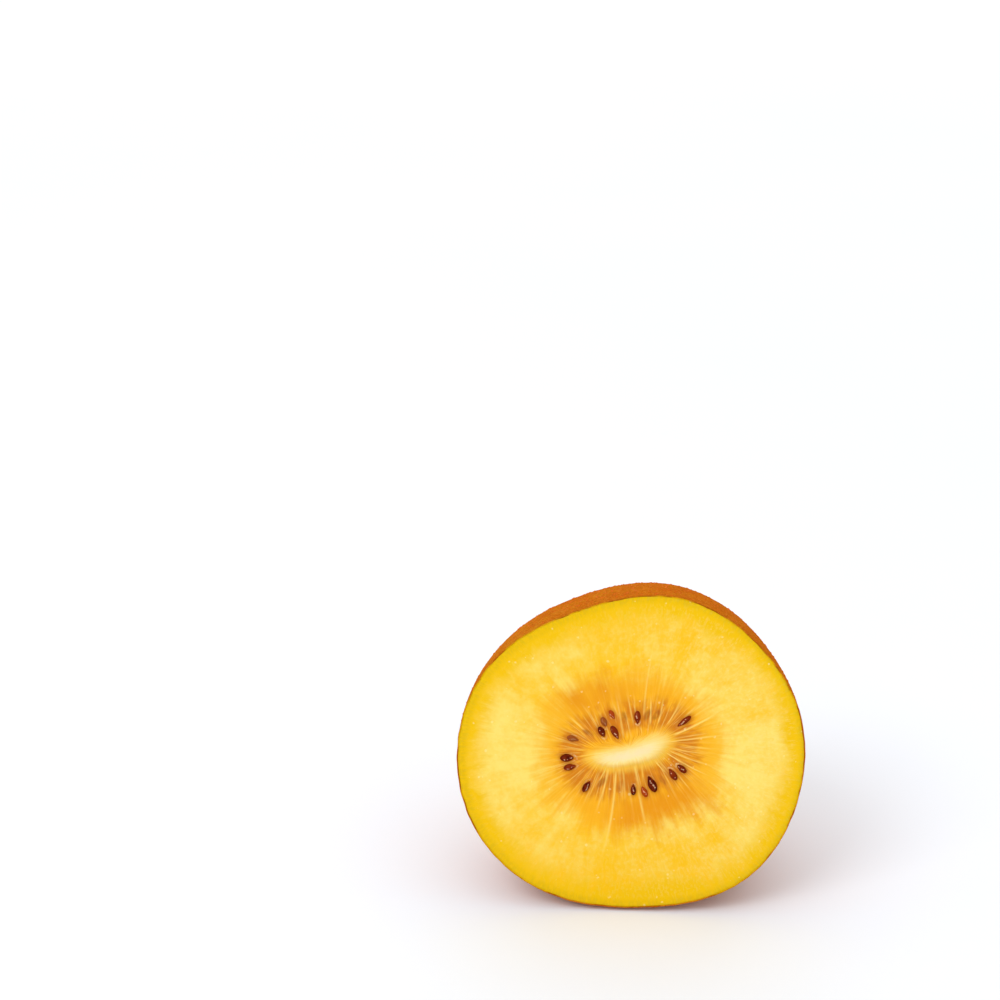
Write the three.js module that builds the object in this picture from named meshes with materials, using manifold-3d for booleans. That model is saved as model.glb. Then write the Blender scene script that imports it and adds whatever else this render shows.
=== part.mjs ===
// Half of a golden kiwi fruit, cut square across its length and stood on its skin: the cut face looks
// forward (-Y) and leans back a little, and the stem end points back. Millimetres, +Z up, with the
// origin on the ground under the middle of the half.
//
// The fruit is shaped in its own frame first: the cut face lies on the plane y = 0 with x to the right
// and z up, and y counts the depth behind it. The finished mesh is then leaned back and set down.
import * as THREE from 'three';
import { mergeVertices } from 'three/addons/utils/BufferGeometryUtils.js';
import Module from 'manifold-3d';

const { degToRad, smoothstep, lerp } = THREE.MathUtils;

// ---- Driving dimensions, in millimetres and degrees --------------------------------------------

// Body
const FACE_RADIUS = 25.6; // mean radius of the cut face
const HALF_LENGTH = 33; // from the cut face to the stem end
const SIDE_FULLNESS = 2.6; // 2 gives an ellipse, and more a flank that stays full for longer
const END_FULLNESS = 2.2; // 2 gives an ellipse, and more a blunter end
// The outline of the face swells and pulls in: [waves round it, height, angle of one crest]
const FACE_SWELLS = [[2, 1.0, 10], [3, 0.44, -47], [4, 0.24, -34], [5, 0.18, 11], [6, 0.11, 15]];
const SWELL_LEFT_AT_END = 0.4; // the share of those swells that is left at the stem end

// Stance
const LEAN_BACK = 11; // of the cut face from upright
const REST_DEPTH = 1.2; // how far the underside is pressed flat where the half stands

// Core: a blunt bar, a little off the middle of the face
const CORE = { length: 12, width: 3.5, turn: 12.5, x: -0.4, z: 1.25, bluntness: 3 };
const CORE_RISE = 0.4; // the firm core stands proud of the cut
const CORE_SHARE = 0.2; // share of the way out to the skin where the core's edge is drawn

// Soft zone round the core, crossed by fine ribs, with the seeds in it
const SOFT_ZONE_SHARE = 0.6; // where the zone ends, as a share of the way out
const SOFT_ZONE_SINK = 0.3;
const RIB_COUNT = 36;
const RIB_RISE = 0.2;

// Seeds: [angle, distance from the middle of the core, turn of the broad end]
const SEEDS = [
  [28, 9.2, 40], [77, 4.9, 91], [118, 5.8, 120], [135, 5.5, 115], [151, 4.8, 120],
  [135, 3.3, 120], [172, 8.8, 166], [191, 9.5, 181], [200, 9.6, 192], [224, 8.9, 237],
  [276, 6.6, 271], [289, 7.2, 295], [302, 6.6, 295], [329, 7.7, 305], [339, 8.5, 320],
];
const SEED_LENGTH = [1.7, 2.3]; // shortest and longest
const SEED_WIDTH_SHARE = 0.54; // of its length
const SEED_THICKNESS = 1.1;
const SEED_SINK = 0.05; // the middle of a seed lies this far behind the cut plane
const SEED_TAPER = 0.35; // a seed narrows towards the core

// Stem scar: a corky ring round a shallow hollow that keeps a stub of the stalk
const SCAR_RADIUS = 5.2;
const SCAR_RISE = 0.55;
const SCAR_WIDTH = 1.5;
const HOLLOW_RADIUS = 2.3;
const HOLLOW_DEPTH = 1.3;
const STUB_RADIUS = 0.9;
const STUB_HEIGHT = 0.7;

// Fineness of the surface
const SEGMENTS = 2 * RIB_COUNT; // one for each rib and one for each groove beside it
const FACE_SHARES = [0, 0.1, 0.17, CORE_SHARE, 0.23, 0.3, 0.38, 0.46, 0.53, SOFT_ZONE_SHARE, 0.8, 1];
const FLANK_RINGS = 16;
const SCAR_RINGS = [7.4, 6.5, 5.8, 5.2, 4.6, 3.9, 3.2, 2.7, 2.2, 1.7, 1.1, 0.7];

// Colours
const SKIN_COLOUR = new THREE.Color(0xb5722a);
const SCAR_COLOUR = new THREE.Color(0x8a4a20);
const FLESH_COLOUR = new THREE.Color(0xf7c52c);
const SOFT_ZONE_COLOUR = new THREE.Color(0xf0a81e);
const CORE_COLOUR = new THREE.Color(0xfdf0bd);
const SEED_COLOUR = new THREE.Color(0x3a1c12);

// ---- Shape of the fruit -------------------------------------------------------------------------

// Radius of the fruit at an angle round its axis; fade is how much of the swells is left there
function fruitRadius(angle, fade) {
  return FACE_SWELLS.reduce(
    (radius, [waves, height, crest]) => radius + fade * height * Math.cos(waves * (angle - degToRad(crest))),
    FACE_RADIUS,
  );
}

// A point of the core's outline, drawn smaller for a share below 1
function corePoint(angle, share) {
  const blunt = (value) => Math.sign(value) * Math.abs(value) ** (2 / CORE.bluntness);
  const turn = degToRad(CORE.turn);
  const along = (share * CORE.length * blunt(Math.cos(angle - turn))) / 2;
  const across = (share * CORE.width * blunt(Math.sin(angle - turn))) / 2;
  const point = new THREE.Vector2(along + CORE.x, across + CORE.z);
  return point.rotateAround(new THREE.Vector2(CORE.x, CORE.z), turn);
}

// How far the cut face stands proud of its plane: a firm core, and ribs over a soft sunken zone
function faceRise(angle, share) {
  const core = CORE_RISE * (1 - smoothstep(share, 0.8 * CORE_SHARE, CORE_SHARE));
  const zone = smoothstep(share, CORE_SHARE, 0.3) * (1 - smoothstep(share, 0.46, SOFT_ZONE_SHARE));
  const ribs = RIB_RISE * Math.cos(RIB_COUNT * (angle - Math.PI / 2));
  return core + zone * (ribs - SOFT_ZONE_SINK);
}

// A point of the cut face, from the core's middle (share 0) over its edge to the skin (share 1)
function facePoint(angle, share) {
  const flat = corePoint(angle, Math.min(share / CORE_SHARE, 1));
  const radius = fruitRadius(angle, 1);
  const skin = new THREE.Vector2(radius * Math.cos(angle), radius * Math.sin(angle));
  flat.lerp(skin, Math.max((share - CORE_SHARE) / (1 - CORE_SHARE), 0));
  return new THREE.Vector3(flat.x, -faceRise(angle, share), flat.y);
}

// Depth behind the cut face where the fruit has narrowed to a share of its full radius
function depthAt(share) {
  return HALF_LENGTH * (1 - share ** END_FULLNESS) ** (1 / SIDE_FULLNESS);
}

// How far the stem end stands out at a distance from the axis: a corky ring, a hollow and a stub
function scarRise(angle, distance) {
  const ring = SCAR_RISE * Math.exp(-(((distance - SCAR_RADIUS) / SCAR_WIDTH) ** 2));
  const ragged = 1 + 0.2 * Math.cos(5 * angle) + 0.15 * Math.cos(8 * angle + 1);
  const hollow = HOLLOW_DEPTH * (1 - smoothstep(distance, 0.7 * HOLLOW_RADIUS, 1.3 * HOLLOW_RADIUS));
  const stub = STUB_HEIGHT * (1 - smoothstep(distance, 0.7 * STUB_RADIUS, 1.3 * STUB_RADIUS));
  return ring * ragged - hollow + stub;
}

// A point of the skin, from the edge of the cut (share 1) to the stem end (share 0)
function skinPoint(angle, share) {
  const depth = depthAt(share);
  const radius = share * fruitRadius(angle, lerp(1, SWELL_LEFT_AT_END, depth / HALF_LENGTH));
  const rise = scarRise(angle, share * FACE_RADIUS) * smoothstep(depth, 0.7 * HALF_LENGTH, 0.8 * HALF_LENGTH);
  return new THREE.Vector3(radius * Math.cos(angle), depth + rise, radius * Math.sin(angle));
}

// Shares of the full radius at which the skin has a ring, from the cut towards the stem end
function skinShares() {
  const scarEdge = SCAR_RINGS[0] / FACE_RADIUS;
  const lastTurn = Math.acos(scarEdge ** (END_FULLNESS / 2));
  const flank = Array.from({ length: FLANK_RINGS - 1 }, (_, ring) => {
    const turn = (lastTurn * (ring + 1)) / FLANK_RINGS;
    return Math.cos(turn) ** (2 / END_FULLNESS);
  });
  return [...flank, ...SCAR_RINGS.map((distance) => distance / FACE_RADIUS), 0];
}

// A plain turned body with a radius of 1, each vertex then moved to its place on the fruit
function bodyGeometry() {
  const face = FACE_SHARES.map((share) => new THREE.Vector2(share, 0));
  const skin = skinShares().map((share) => new THREE.Vector2(share, depthAt(share)));
  const geometry = bare(new THREE.LatheGeometry([...face, ...skin], SEGMENTS));
  const vertices = geometry.getAttribute('position');
  for (let i = 0; i < vertices.count; i += 1) {
    const share = Math.hypot(vertices.getX(i), vertices.getZ(i));
    const angle = Math.atan2(vertices.getZ(i), vertices.getX(i));
    const point = vertices.getY(i) > 0 ? skinPoint(angle, share) : facePoint(angle, share);
    vertices.setXYZ(i, point.x, point.y, point.z);
  }
  return geometry;
}

// ---- Seeds --------------------------------------------------------------------------------------

// The same run of draws between 0 and 1 each time
function drawsFrom(seed) {
  let state = seed;
  return () => {
    state = (state * 16807) % 2147483647;
    return state / 2147483647;
  };
}

// Middle of a seed on the cut plane
function seedPlace([angle, distance]) {
  const direction = degToRad(angle);
  return new THREE.Vector2(
    CORE.x + distance * Math.cos(direction),
    CORE.z + distance * Math.sin(direction),
  );
}

// One seed: a flat drop whose broad end points along its turn and whose narrow end faces the core
function seedGeometry(seed, draw) {
  const length = lerp(...SEED_LENGTH, draw());
  const geometry = new THREE.SphereGeometry(0.5, 10, 6);
  const vertices = geometry.getAttribute('position');
  for (let i = 0; i < vertices.count; i += 1) {
    const slim = 1 + SEED_TAPER * vertices.getY(i);
    vertices.setX(i, vertices.getX(i) * slim);
    vertices.setZ(i, vertices.getZ(i) * slim);
  }
  geometry.scale(SEED_WIDTH_SHARE * length, length, SEED_THICKNESS);
  geometry.rotateX(Math.PI / 2);
  geometry.rotateY(Math.PI / 2 - degToRad(seed[2]));
  const place = seedPlace(seed);
  return geometry.translate(place.x, SEED_SINK, place.y);
}

// ---- Joining and cutting ------------------------------------------------------------------------

const wasm = await Module();
wasm.setup();

// The geometry with its positions alone, and its shared vertices merged
function bare(geometry) {
  geometry.deleteAttribute('normal');
  geometry.deleteAttribute('uv');
  return mergeVertices(geometry);
}

function toSolid(geometry) {
  const merged = bare(geometry.clone());
  const vertProperties = merged.getAttribute('position').array;
  const triVerts = Uint32Array.from(merged.index.array);
  return new wasm.Manifold(new wasm.Mesh({ numProp: 3, vertProperties, triVerts }));
}

function toGeometry(solid) {
  const { vertProperties, triVerts } = solid.getMesh();
  const geometry = new THREE.BufferGeometry();
  geometry.setAttribute('position', new THREE.BufferAttribute(vertProperties, 3));
  return geometry.setIndex(new THREE.BufferAttribute(triVerts, 1));
}

// Height of the ground once the body has been leaned back, counted from the middle of the cut face
function groundHeight(body) {
  const leaned = body.clone().rotateX(-degToRad(LEAN_BACK));
  leaned.computeBoundingBox();
  return leaned.boundingBox.min.z + REST_DEPTH;
}

// The ground as a block, leaned the other way so that it meets the upright body as it would stand
function groundBlock(height) {
  const thickness = FACE_RADIUS;
  return new THREE.BoxGeometry(4 * FACE_RADIUS, 4 * HALF_LENGTH, thickness)
    .translate(0, 0, height - thickness / 2)
    .rotateX(degToRad(LEAN_BACK));
}

// ---- Colour -------------------------------------------------------------------------------------

// Whether a point of the cut plane lies on the core
function onCore(x, z) {
  const middle = new THREE.Vector2(CORE.x, CORE.z);
  const point = new THREE.Vector2(x, z).rotateAround(middle, -degToRad(CORE.turn)).sub(middle);
  const along = Math.abs((2 * point.x) / CORE.length) ** CORE.bluntness;
  const across = Math.abs((2 * point.y) / CORE.width) ** CORE.bluntness;
  return along + across < 1;
}

function onSeed(x, z) {
  return SEEDS.some((seed) => seedPlace(seed).distanceTo(new THREE.Vector2(x, z)) < SEED_LENGTH[1] / 2);
}

function cutColour(middle) {
  if (onCore(middle.x, middle.z)) return CORE_COLOUR;
  if (middle.y < -0.1 && onSeed(middle.x, middle.z)) return SEED_COLOUR;
  const reach = Math.hypot(middle.x, middle.z) / (SOFT_ZONE_SHARE * FACE_RADIUS);
  return reach < 1 ? SOFT_ZONE_COLOUR : FLESH_COLOUR;
}

function outsideColour(middle) {
  return Math.hypot(middle.x, middle.z) < SCAR_RADIUS + SCAR_WIDTH ? SCAR_COLOUR : SKIN_COLOUR;
}

// Colours each triangle by where it lies: on the cut, on the stem scar or on the skin
function paint(geometry) {
  const split = geometry.toNonIndexed();
  const vertices = split.getAttribute('position');
  const colours = [];
  const triangle = new THREE.Triangle();
  const middle = new THREE.Vector3();
  const normal = new THREE.Vector3();
  for (let i = 0; i < vertices.count; i += 3) {
    triangle.setFromAttributeAndIndices(vertices, i, i + 1, i + 2);
    triangle.getMidpoint(middle);
    triangle.getNormal(normal);
    const cut = middle.y < SOFT_ZONE_SINK + RIB_RISE && normal.y < 0;
    const colour = cut ? cutColour(middle) : outsideColour(middle);
    for (let corner = 0; corner < 3; corner += 1) colours.push(...colour.toArray());
  }
  split.setAttribute('color', new THREE.Float32BufferAttribute(colours, 3));
  split.computeVertexNormals();
  return split;
}

// ---- The part -----------------------------------------------------------------------------------

function halfFruit() {
  const body = bodyGeometry();
  const ground = groundHeight(body);
  const draw = drawsFrom(7);
  const seeded = SEEDS.reduce((solid, seed) => solid.add(toSolid(seedGeometry(seed, draw))), toSolid(body));
  const standing = seeded.subtract(toSolid(groundBlock(ground)));
  const material = new THREE.MeshStandardMaterial({ vertexColors: true, roughness: 0.5, metalness: 0 });
  const mesh = new THREE.Mesh(paint(toGeometry(standing)), material);
  mesh.name = 'half_fruit';
  mesh.rotation.x = -degToRad(LEAN_BACK);
  mesh.position.z = -ground;
  const middle = new THREE.Box3().setFromObject(mesh, true).getCenter(new THREE.Vector3());
  mesh.position.x = -middle.x;
  mesh.position.y = -middle.y;
  return mesh;
}

const part = new THREE.Group();
part.add(halfFruit());

export default part;
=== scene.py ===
"""Half of a golden kiwi fruit: its flesh, skin, seeds and stem scar, on a plain stage."""

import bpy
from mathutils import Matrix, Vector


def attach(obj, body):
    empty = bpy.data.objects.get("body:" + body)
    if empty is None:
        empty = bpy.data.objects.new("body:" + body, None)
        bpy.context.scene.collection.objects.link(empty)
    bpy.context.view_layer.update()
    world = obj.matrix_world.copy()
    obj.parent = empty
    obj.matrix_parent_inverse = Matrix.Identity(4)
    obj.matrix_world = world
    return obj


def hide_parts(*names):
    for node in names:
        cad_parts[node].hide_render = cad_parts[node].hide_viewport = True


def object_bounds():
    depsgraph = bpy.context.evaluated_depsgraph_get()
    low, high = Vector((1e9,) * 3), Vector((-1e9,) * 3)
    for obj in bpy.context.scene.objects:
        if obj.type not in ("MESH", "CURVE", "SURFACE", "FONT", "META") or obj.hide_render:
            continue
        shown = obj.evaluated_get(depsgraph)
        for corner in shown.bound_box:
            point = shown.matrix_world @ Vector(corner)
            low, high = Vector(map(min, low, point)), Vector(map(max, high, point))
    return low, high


bl_info = {
    "name": "Golden kiwi half",
    "version": (1, 0, 0),
    "blender": (4, 5, 0),
    "location": "3D View > Sidebar > Kiwi",
    "description": "Makes the finished half of a golden kiwi fruit around its plain solid",
    "category": "Object",
}

import math
import random
from contextlib import contextmanager

import bpy
import numpy as np
from bpy.props import FloatProperty, FloatVectorProperty, IntProperty, PointerProperty
from mathutils import Euler, Matrix, Vector, noise

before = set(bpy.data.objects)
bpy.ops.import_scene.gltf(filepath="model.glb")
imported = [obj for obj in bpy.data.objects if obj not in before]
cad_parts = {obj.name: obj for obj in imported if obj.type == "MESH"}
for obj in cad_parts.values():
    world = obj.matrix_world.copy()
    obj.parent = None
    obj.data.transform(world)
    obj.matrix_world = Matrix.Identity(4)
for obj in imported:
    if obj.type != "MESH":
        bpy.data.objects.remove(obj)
CAD_LOW, CAD_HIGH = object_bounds()

NODE = "half_fruit"
BODY = "root"
MM = 0.001
FULL_TURN = 2 * math.pi

# The outline of the cut swells and pulls in: (waves round it, height in mm, angle of one crest)
FACE_SWELLS = [(2, 1.0, 10), (3, 0.44, -47), (4, 0.24, -34), (5, 0.18, 11), (6, 0.11, 15)]
SWELL_LEFT_AT_END = 0.4  # the share of those swells that is left at the stem end
OUTLINE_STEPS = 721  # points round the outline, half a degree apart, that measure its reach
NICK_HEIGHT, NICK_LENGTH = 0.09 * MM, 1.7 * MM  # where the knife left the rim out of round
FLESH_INSET = 0.8  # how far inside the outline the flesh ends, as a share of the skin's thickness

CORE_SHARE = 0.2  # the share of the way from the core's middle to the skin where the core ends
CORE_BLUNTNESS = 2 / 3  # 1 would end the core like an ellipse, less ends it blunter
CORE_FLARE = 0.2  # how much broader the pale of the core is at its right end

# Seeds: (angle and distance in mm from the core's middle, turn of the broad end, length, width, tone)
SEEDS = [
    (28, 9.2, 40, 2.7, 0.85, "brown"),
    (77, 4.9, 91, 2.1, 1.0, "brown"),
    (118, 5.8, 120, 1.6, 0.8, "red"),
    (135, 5.5, 115, 2.0, 1.05, "pale"),
    (151, 4.8, 120, 2.0, 1.0, "ripe"),
    (134, 3.2, 120, 2.6, 1.1, "brown"),
    (172, 8.8, 166, 2.1, 1.1, "pale"),
    (191, 9.5, 181, 2.4, 1.2, "ripe"),
    (200, 9.5, 192, 2.1, 1.0, "brown"),
    (224, 8.9, 237, 2.1, 0.95, "ripe"),
    (276, 6.6, 271, 1.8, 0.85, "ripe"),
    (289, 7.2, 295, 1.95, 0.95, "red"),
    (302, 6.6, 295, 2.75, 1.3, "ripe"),
    (329, 7.7, 305, 2.2, 1.0, "brown"),
    (339, 8.5, 320, 1.85, 0.95, "ripe"),
]
# Seeds that lie just under the cut and only darken it: (angle, distance in mm)
SUNKEN_SEEDS = [(53, 6.6), (64, 5.8), (101, 4.8), (160, 6.6), (233, 7.0), (259, 6.1), (316, 7.0)]
SUNKEN_SIZE = (1.7, 0.7)  # length and width in mm
SEED_THICKNESS = 0.9 * MM
SEED_DEPTHS = {"ripe": 0.3, "brown": 0.34, "red": 0.4, "pale": 0.5}  # of a seed's middle, in mm
SEED_TILT = (-0.08, 0.08)  # ranges of how far a seed leans out of the cut's plane, as angles
SEED_ROLL = (-0.2, 0.2)

# How far round a seed its gel, its torn husk with a painted glint and the shade of a sunken one reach
GEL_MARGIN = 0.3 * MM
HUSK_GLINT_MARGIN = 0.07 * MM
SUNKEN_MARGIN = 0.1 * MM

# The strongest rays: (angle and share of the way where one starts, the same where it ends, strength)
RAYS = [
    (11, 0.2, 12, 0.58, 0.9),
    (0, 0.3, 1, 0.5, 0.5),
    (23, 0.24, 30, 0.64, 1.0),
    (41, 0.36, 42, 0.5, 0.6),
    (52, 0.27, 57, 0.5, 0.6),
    (67, 0.26, 71, 0.44, 0.8),
    (78, 0.25, 82, 0.44, 0.95),
    (87, 0.3, 81, 0.84, 0.6),
    (104, 0.2, 103, 0.52, 0.7),
    (126, 0.33, 128, 0.5, 0.35),
    (141, 0.3, 142, 0.5, 0.4),
    (154, 0.3, 156, 0.5, 0.35),
    (176, 0.24, 172, 0.42, 0.5),
    (196, 0.34, 193, 0.5, 0.5),
    (206, 0.38, 204, 0.54, 0.45),
    (253, 0.22, 243, 0.36, 0.9),
    (257, 0.23, 250, 0.52, 0.7),
    (267, 0.25, 257, 0.82, 0.9),
    (275, 0.25, 273, 0.44, 0.6),
    (283, 0.23, 282, 0.64, 0.9),
    (288, 0.23, 285, 0.36, 0.5),
    (304, 0.23, 310, 0.34, 0.9),
    (309, 0.24, 318, 0.44, 0.5),
    (331, 0.22, 338, 0.52, 1.0),
    (340, 0.22, 347, 0.52, 0.8),
    (350, 0.22, 357, 0.48, 0.6),
]
# The ranges that rays are drawn from: shares of the way, degrees, and widths in mm
STRONG_RAY_WIDTH = (0.09, 0.15)
WEAK_RAY_START = (0.2, 0.32)
WEAK_RAY_LENGTH = (0.06, 0.26)
WEAK_RAY_WIDTH = (0.06, 0.11)
WEAK_RAY_TURN = (-4, 4)
WEAK_RAY_SHIFT = (-0.45, 0.45)  # out of its even place, as a share of the step to the next one

# Torn husks beside the seeds, with painted glints on their wet edges: how far each turns away
# from the core, how pale it is, and how broad as a share of its seed
HUSK_GLINT_TURN = (-1.4, 1.4)
HUSK_GLINT_STRENGTH = (0.1, 0.75)
HUSK_GLINT_WIDTH = 0.09

# How strongly the rays, the gel round the seeds and the sunken seeds tint the flesh
MARK_STRENGTHS = (0.8, 0.55, 0.6)

# Relief of the cut face
SOCKET_DEPTH = 0.06 * MM
EDGE_DROP = 0.05 * MM
GRAIN_HEIGHT, GRAIN_LENGTH = 0.03 * MM, 0.9 * MM

# Behind the cut: the shares of the full radius where the flesh has an edge loop, how far it stays
# inside the skin, and how far short of the stem end it stops
FLESH_LOOPS = (0.99, 0.95, 0.87, 0.75, 0.6, 0.42, 0.22)
FIRST_LOOP = (0.996, 0.6 * MM)  # share and depth of the loop just behind the rim
FLESH_SHARE = 0.985
FLESH_GAP = 0.05 * MM
FLESH_SHORT = 4.5 * MM
FLESH_LIFT = 0.04 * MM  # over the skin that the half stands on

# The faces of the three domes, round them and from the rim to the pole
FACE_SEGMENTS = 640
FACE_RINGS = 144
SKIN_SEGMENTS = 288
SKIN_RINGS = 144
SCAR_SEGMENTS = 240
SCAR_RINGS = 84


# ---- Settings ------------------------------------------------------------------------------------


def length(name, description, millimetres):
    """A size property, kept in metres."""
    return FloatProperty(
        name=name, description=description, default=millimetres * MM, unit="LENGTH", precision=5
    )


def angle(name, description, degrees):
    """An angle property, given in degrees."""
    return FloatProperty(
        name=name, description=description, default=math.radians(degrees), subtype="ANGLE"
    )


def number(name, description, default, unit="NONE"):
    """A property that is kept as it is given."""
    return FloatProperty(name=name, description=description, default=default, unit=unit)


def share_of(name, description, default):
    """A share from 0 to 1."""
    return FloatProperty(
        name=name, description=description, default=default, subtype="FACTOR", min=0, max=1
    )


def colour(name, description, red, green, blue):
    """A colour property from values of 0 to 255, kept as Blender's linear colour."""
    return FloatVectorProperty(
        name=name, description=description, default=linear(red, green, blue), subtype="COLOR",
        size=3, min=0, max=1,
    )


def linear(*values):
    """Screen values of 0 to 255 as linear light, by the usual screen curve."""
    shares = [v / 255 for v in values]
    return tuple(s / 12.92 if s <= 0.04045 else ((s + 0.055) / 1.055) ** 2.4 for s in shares)


class KiwiShape(bpy.types.PropertyGroup):
    """The form of the half, as its solid has it."""

    face_radius: length("Face radius", "Mean radius of the cut face", 25.6)
    half_length: length("Half length", "From the cut to the stem end", 33)
    side_fullness: number("Side fullness", "2 gives an ellipse, more a fuller flank", 2.6)
    end_fullness: number("End fullness", "2 gives an ellipse, more a blunter end", 2.2)
    lean_back: angle("Lean back", "Lean of the cut face from upright", 11)
    skin_thickness: length("Skin thickness", "Thickness of the skin at the cut", 0.2)


class KiwiCut(bpy.types.PropertyGroup):
    """The core, the soft zone and the rays of the cut face."""

    core_length: length("Core length", "Length of the pale core", 12)
    core_width: length("Core width", "Width of the pale core", 3.5)
    core_turn: angle("Core turn", "How far the core rises to the right", 12.5)
    core_sag: length("Core sag", "How far the pale of the core sags below its middle line", 1.0)
    core_slant: length("Core slant", "How far the pale of the core rises more at its right end", 0.35)
    core_across: length("Core across", "The core's middle, right of the face's middle", -0.4)
    core_up: length("Core up", "The core's middle, above the face's middle", 1.25)
    core_rise: length("Core rise", "How far the core stands proud", 0.3)
    zone_sink: length("Soft zone sink", "How far the soft zone lies below the cut", 0.28)
    ray_count: IntProperty(name="Rays", description="Fine pale rays round the core", default=84)
    ray_rise: length("Ray rise", "Height of the strongest rays", 0.12)


class KiwiSkin(bpy.types.PropertyGroup):
    """The spots of the skin and the scar of the stem."""

    spot_count: IntProperty(name="Spots", description="Raised corky spots on the skin", default=2600)
    spot_size: length("Spot size", "Mean width of a spot near the stem", 0.58)
    scar_radius: length("Scar radius", "Radius of the corky ring round the stem's hollow", 5.2)
    scar_width: length("Scar width", "Half the width of that ring", 1.5)
    scar_rise: length("Scar rise", "Height of that ring", 0.55)
    hollow_radius: length("Hollow radius", "Radius of the hollow where the stalk was", 2.3)
    hollow_depth: length("Hollow depth", "Depth of that hollow", 1.3)
    fibre_count: IntProperty(name="Fibres", description="Dry fibres left of the stalk", default=46)


class KiwiColours(bpy.types.PropertyGroup):
    """The colours of the fruit."""

    core_heart: colour("Core heart", "Whitest part of the core", 250, 227, 174)
    core: colour("Core", "Pale of the core", 251, 226, 150)
    core_edge: colour("Core edge", "Where the core fades out", 250, 205, 78)
    zone_core: colour("Zone at the core", "Soft zone between the core and the seeds", 248, 178, 26)
    zone_seeds: colour("Zone at the seeds", "Soft zone round the seeds", 224, 140, 20)
    zone: colour("Soft zone", "Soft zone outside the seeds", 245, 175, 24)
    zone_deep: colour("Deep zone", "Where the soft zone is thickest", 230, 146, 8)
    zone_edge: colour("Zone edge", "Soft zone where it is thin", 247, 187, 42)
    flesh: colour("Flesh", "Outer flesh", 247, 193, 22)
    flesh_pale: colour("Pale flesh", "Paler patches of the outer flesh", 248, 221, 112)
    rim: colour("Rim", "Flesh near the skin", 240, 192, 0)
    edge: colour("Edge", "Thin line of flesh at the skin", 226, 182, 0)
    ray: colour("Ray", "Pale rays", 255, 222, 116)
    deep: colour("Deep streak", "Clear dark streaks between the rays", 212, 128, 14)
    gel: colour("Gel", "Clear gel round the seeds", 192, 100, 16)
    sunken: colour("Sunken seed", "A seed seen through the flesh", 150, 72, 18)
    # Pale cell grain, and painted glints of the wet flesh
    grain_and_glint: colour("Grain", "Pale grain and specks of the flesh", 255, 240, 176)
    skin: colour("Skin", "Brown of the skin", 202, 106, 13)
    skin_light: colour("Light skin", "Greenish gold patches of the skin", 204, 126, 24)
    skin_red: colour("Red skin", "Reddish patches of the skin", 190, 84, 16)
    skin_grain: colour("Skin grain", "Dark grain of the skin", 150, 72, 10)
    skin_stem: colour("Skin at the stem", "Paler skin round the stem", 226, 158, 72)
    skin_shade: colour("Stem shade", "Brown ring of skin round the scar", 168, 94, 38)
    spot: colour("Spot", "Corky spots", 230, 100, 30)
    spot_light: colour("Light spot", "Worn tops of the corky spots", 240, 148, 72)
    cut_skin: colour("Cut skin", "The skin's own thickness, seen at the cut", 168, 84, 8)
    scar: colour("Scar", "Corky ring", 224, 100, 30)
    scar_inner: colour("Inner scar", "Paler cork round the hollow", 234, 148, 50)
    # Also the painted shade at the foot of the skin's spots
    cork_dark_and_spot_shade: colour("Deep cork", "Cracks and pits of the cork", 146, 56, 18)
    hollow: colour("Hollow", "Hollow and fibres of the stalk", 78, 30, 12)
    fibre: colour("Fibre", "Lighter fibres of the stalk", 178, 98, 44)
    seed_ripe: colour("Ripe seed", "Seeds seen whole", 72, 11, 4)
    seed_brown: colour("Brown seed", "Seeds under a film of gel", 112, 34, 8)
    seed_red: colour("Red seed", "Thin reddish seeds", 170, 66, 18)
    seed_pale: colour("Pale seed", "Empty husks", 146, 82, 34)
    seed_coat: colour("Seed coat", "Lighter marbling of the seeds", 160, 60, 18)
    # A painted highlight: pale streaks that stand in for glints on the wet seeds
    seed_painted_glint: colour("Seed glint", "Pale wet streaks on the seeds", 255, 210, 170)


class KiwiStage(bpy.types.PropertyGroup):
    """Camera, floor and light."""

    lens: number("Lens", "Focal length in mm", 100, "CAMERA")
    sensor: number("Sensor", "Width of the sensor in mm", 36, "CAMERA")
    distance: length("Distance", "From the camera to the cut face, along its line of sight", 421)
    elevation: angle("Elevation", "How far the camera looks down", 22)
    azimuth: angle("Azimuth", "How far the camera stands to the right", 3.1)
    face_across: share_of("Face across", "The face's middle, as a share of the width", 0.632)
    face_down: share_of("Face down", "The face's middle, as a share of the height", 0.7564)
    floor: colour("Floor", "Pale floor", 240, 243, 248)
    world_light: number("Surround", "Light from all round", 0.8)
    key_light: number("Key", "Power of the soft light at the left", 2.9, "POWER")
    panel_light: number("Panel", "Power of the panel overhead", 4.3, "POWER")
    back_light: number("Backdrop", "Power of the light far behind", 18, "POWER")


# ---- The fruit's form, upright: x to the right, z up, y the depth behind the cut -----------------


def smoothstep(value, low, high):
    """0 at low, 1 at high and eased between them; high may be the smaller one."""
    share = np.clip((value - low) / (high - low), 0, 1)
    return share * share * (3 - 2 * share)


def bell(value):
    """1 at 0, falling off softly to either side."""
    return np.exp(-(value**2))


def fruit_radius(shape, turn, fade=1.0):
    """Radius of the fruit at an angle round its axis; fade is how much of the swells is left."""
    radius = shape.face_radius + 0 * turn
    for waves, height, crest in FACE_SWELLS:
        radius = radius + fade * height * MM * np.cos(waves * (turn - math.radians(crest)))
    return radius


def depth_at(shape, share):
    """Depth behind the cut where the fruit has narrowed to a share of its full radius."""
    left = np.maximum(1 - share**shape.end_fullness, 0)
    return shape.half_length * left ** (1 / shape.side_fullness)


def nicks(shape, turn):
    """How far the knife left the rim of the cut out of round, from place to place."""
    rim = shape.face_radius * np.column_stack([np.cos(turn), np.sin(turn), 0 * turn])
    return NICK_HEIGHT * lumps(rim, NICK_LENGTH, seed=9)


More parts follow.
